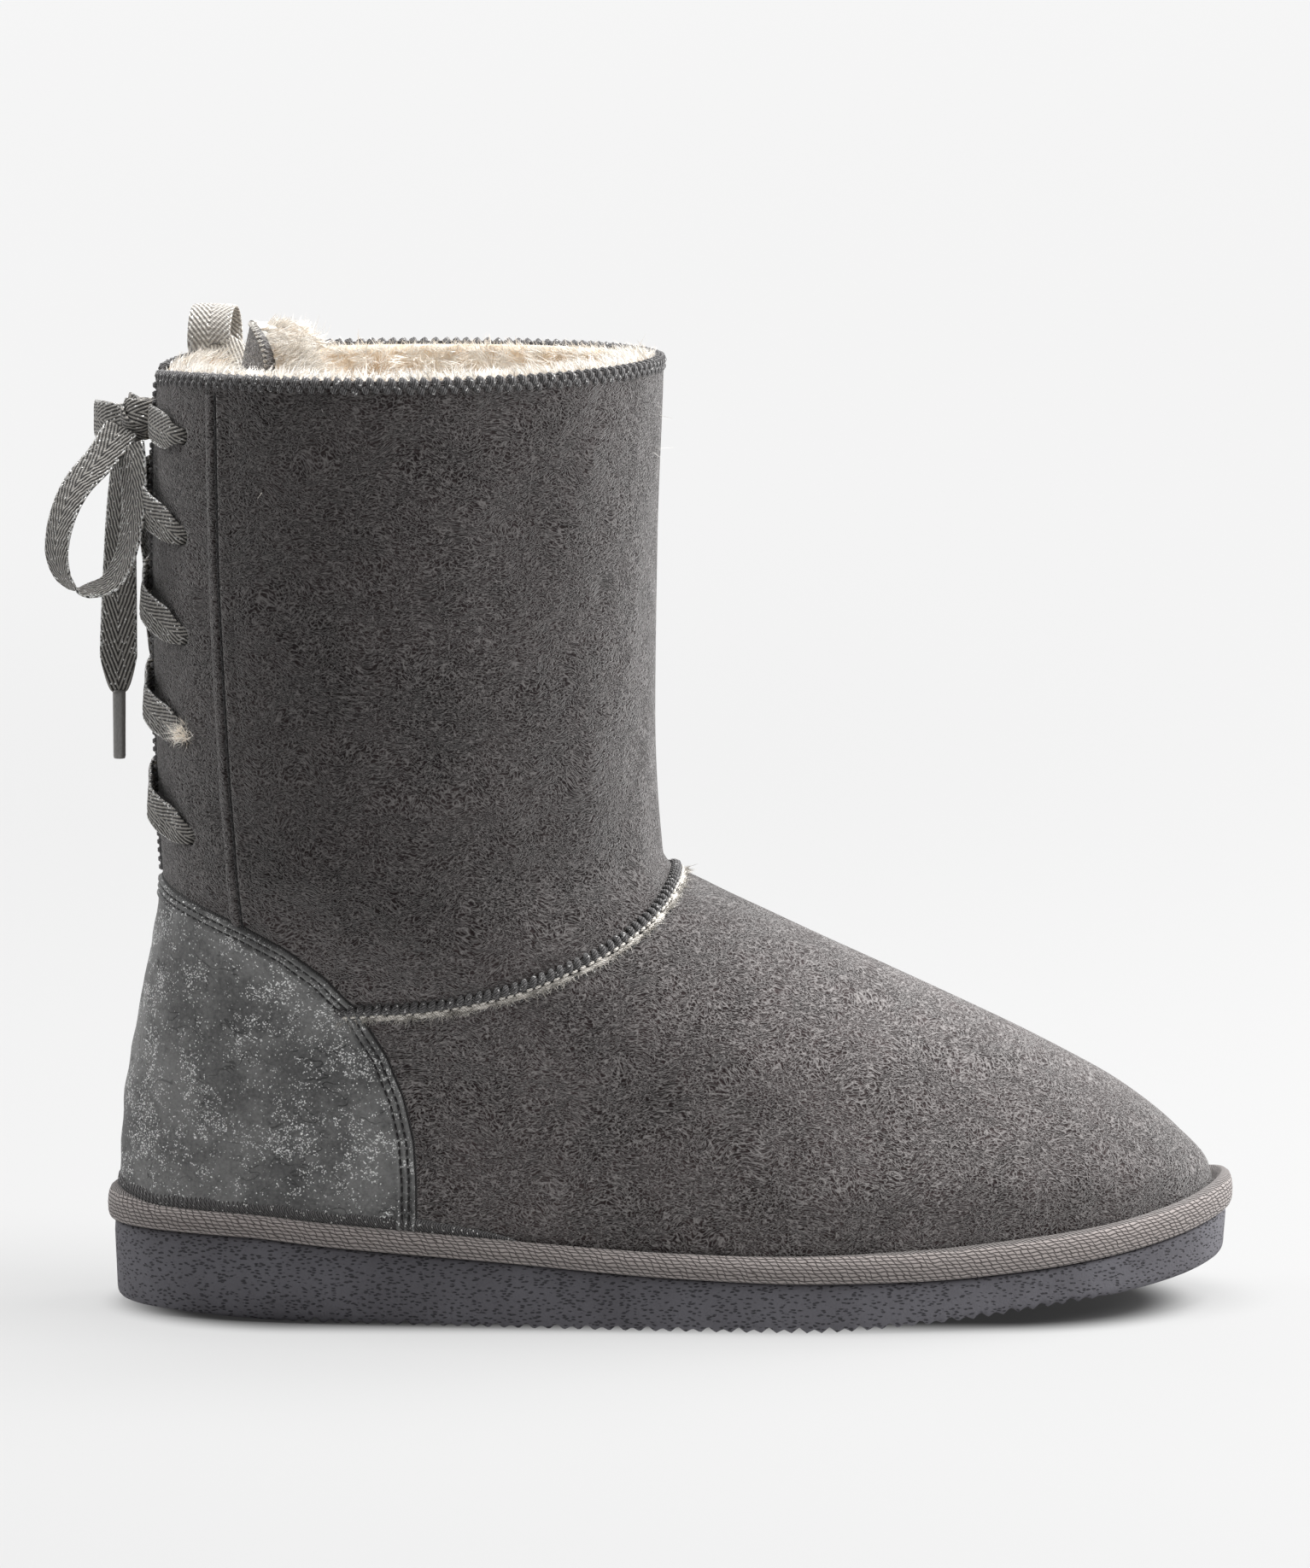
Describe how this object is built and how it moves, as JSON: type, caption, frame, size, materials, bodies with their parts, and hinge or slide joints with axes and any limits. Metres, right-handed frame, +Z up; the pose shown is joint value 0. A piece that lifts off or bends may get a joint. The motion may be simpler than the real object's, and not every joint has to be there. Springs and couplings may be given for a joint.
{
  "type": "fur-lined boot",
  "caption": "Right-foot mid-calf boot: hollow suede upper with fur lining on a foam wedge sole, laced down the back slit with a flat tape tied in a bow.",
  "frame": {"origin": "on the floor under the middle of the sole's length and width, without the free lace", "axes": "+Z up, +X towards the toe, +Y towards the inner side of the right foot"},
  "size_m": [0.2972, 0.1084, 0.2464],
  "materials": {
    "suede": "brushed grey-brown microfibre suede with a short nap",
    "glitter_leather": "crackled grey leather with fine silver glitter",
    "stitching": "dense charcoal overcast thread",
    "welt_tape": "taupe woven tape",
    "sole_foam": "matte pebbled foam",
    "fur": "cream deep pile",
    "lace_tape": "grey herringbone tape with silver threads",
    "pull_tape": "pale herringbone tape with silver threads",
    "lace_tip": "clear film over grey tape"
  },
  "bodies": {
    "root": {"outsole": "sole_foam", "insole": "fur", "welt": "welt_tape", "upper": "suede", "fur_lining": "fur", "heel_counter": "glitter_leather", "instep_seam": "stitching", "collar_binding": "stitching", "back_tongue": "suede", "pull_loop": "pull_tape", "lace_crossing_1": "lace_tape", "lace_crossing_2": "lace_tape", "lace_crossing_3": "lace_tape", "lace_crossing_4": "lace_tape", "lace_top_near": "lace_tape", "lace_top_far": "lace_tape", "bow_knot": "lace_tape", "bow_loop_near": "lace_tape", "bow_loop_far": "lace_tape", "lace_end_near": "lace_tape", "lace_end_far": "lace_tape", "aglet_near": "lace_tip", "aglet_far": "lace_tip"}
  },
  "joints": []
}
